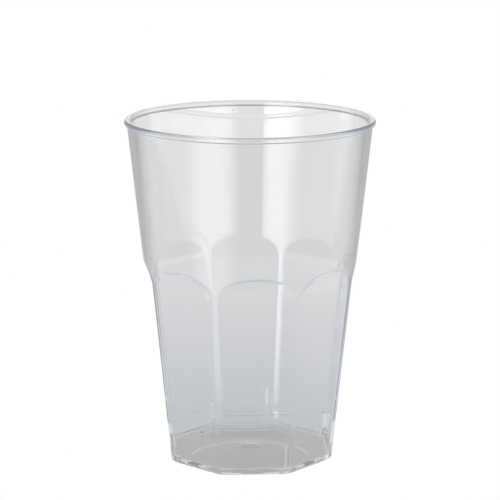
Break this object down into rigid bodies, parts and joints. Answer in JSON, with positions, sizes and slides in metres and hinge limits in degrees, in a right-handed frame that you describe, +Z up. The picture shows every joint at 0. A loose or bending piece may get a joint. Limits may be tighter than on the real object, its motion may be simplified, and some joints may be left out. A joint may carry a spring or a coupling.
{
  "type": "plastic tumbler",
  "caption": "Clear plastic tumbler with a round rim, flat side panels under arched tops, and a faceted foot.",
  "frame": {"origin": "on the cup's axis, in the plane of the ring it stands on", "axes": "+Z up along the cup's axis; one flat panel faces -Y and the next but one faces +X"},
  "size_m": [0.0798, 0.0798, 0.11],
  "materials": {
    "clear_plastic": "gloss"
  },
  "bodies": {
    "root": {"tumbler": "clear_plastic"}
  },
  "joints": []
}
